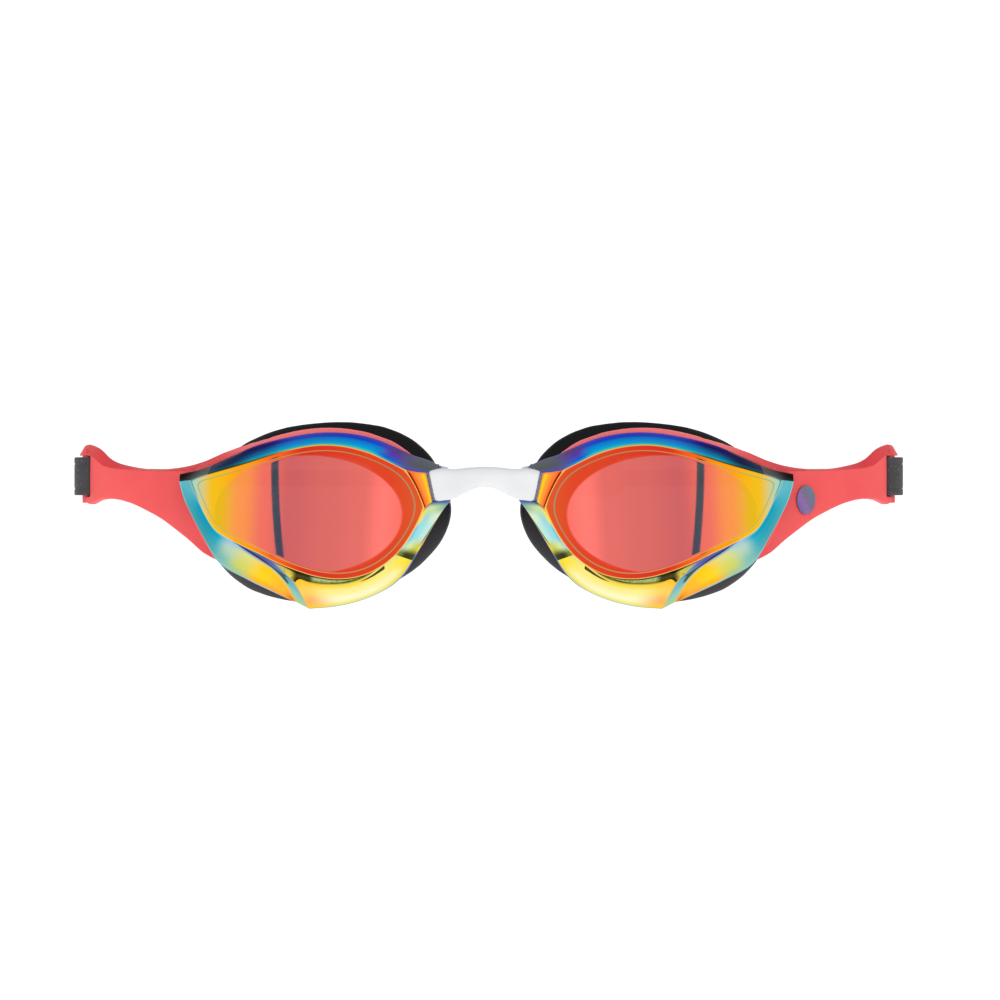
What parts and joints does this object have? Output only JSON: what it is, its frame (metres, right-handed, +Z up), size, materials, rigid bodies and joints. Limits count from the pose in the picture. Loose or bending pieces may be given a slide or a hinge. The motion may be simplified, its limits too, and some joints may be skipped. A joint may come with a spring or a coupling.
{
  "type": "racing swim goggles",
  "caption": "Low-profile racing swim goggles: mirrored cups on a flexible nose bridge, swept side arms and a doubled strap with a rear clip.",
  "frame": {"origin": "on the middle plane, at pupil height, on the face plane that the nose side of both gaskets touches", "axes": "+Z up as worn, +X to the swimmer's own left, +Y towards the back of the head, so the lenses look along -Y"},
  "size_m": [0.1747, 0.1499, 0.0382],
  "materials": {
    "mirror_lens": "polycarbonate with a red to gold mirror coating",
    "coral_frame": "satin coral moulding",
    "black_silicone": "matt soft silicone",
    "strap_silicone": "matt speckled charcoal silicone",
    "bridge_white": "satin white flexible moulding",
    "clip_plastic": "fine-textured charcoal",
    "badge_metal": "dark iridescent"
  },
  "bodies": {
    "nose_bridge": {"nose_bridge": "bridge_white"},
    "left_eyepiece": {"left_lens": "mirror_lens", "left_frame": "coral_frame", "left_gasket": "black_silicone", "arm_badge": "badge_metal"},
    "right_eyepiece": {"right_lens": "mirror_lens", "right_frame": "coral_frame", "right_gasket": "black_silicone"},
    "left_strap": {"left_strap": "strap_silicone"},
    "right_strap": {"right_strap": "strap_silicone"},
    "rear_clip": {"rear_clip_base": "clip_plastic", "rear_clip_cover": "clip_plastic"}
  },
  "joints": [
    {"name": "left_eyepiece_flex", "type": "hinge", "parent": "nose_bridge", "child": "left_eyepiece", "pos_m": [0.0092, -0.013, 0.0041], "axis": [0, 0, 1], "range_deg": [-6, 6], "stiffness_Nm_per_rad": 0.2},
    {"name": "right_eyepiece_flex", "type": "hinge", "parent": "nose_bridge", "child": "right_eyepiece", "pos_m": [-0.0092, -0.013, 0.0041], "axis": [0, 0, 1], "range_deg": [-6, 6], "stiffness_Nm_per_rad": 0.2},
    {"name": "left_strap_swing", "type": "hinge", "parent": "left_eyepiece", "child": "left_strap", "pos_m": [0.08425, 0.02913, 0.006], "axis": [0, 0, 1], "range_deg": [-6, 6]},
    {"name": "right_strap_swing", "type": "hinge", "parent": "right_eyepiece", "child": "right_strap", "pos_m": [-0.08425, 0.02913, 0.006], "axis": [0, 0, 1], "range_deg": [-6, 6]},
    {"name": "rear_clip_slide", "type": "slide", "parent": "left_strap", "child": "rear_clip", "axis": [1, 0, 0], "range_m": [-0.004, 0.004]}
  ],
  "couplings": [
    {"joint": "right_eyepiece_flex", "follows": "left_eyepiece_flex", "ratio": -1},
    {"joint": "left_strap_swing", "follows": "left_eyepiece_flex", "ratio": -1},
    {"joint": "right_strap_swing", "follows": "left_eyepiece_flex", "ratio": 1}
  ]
}
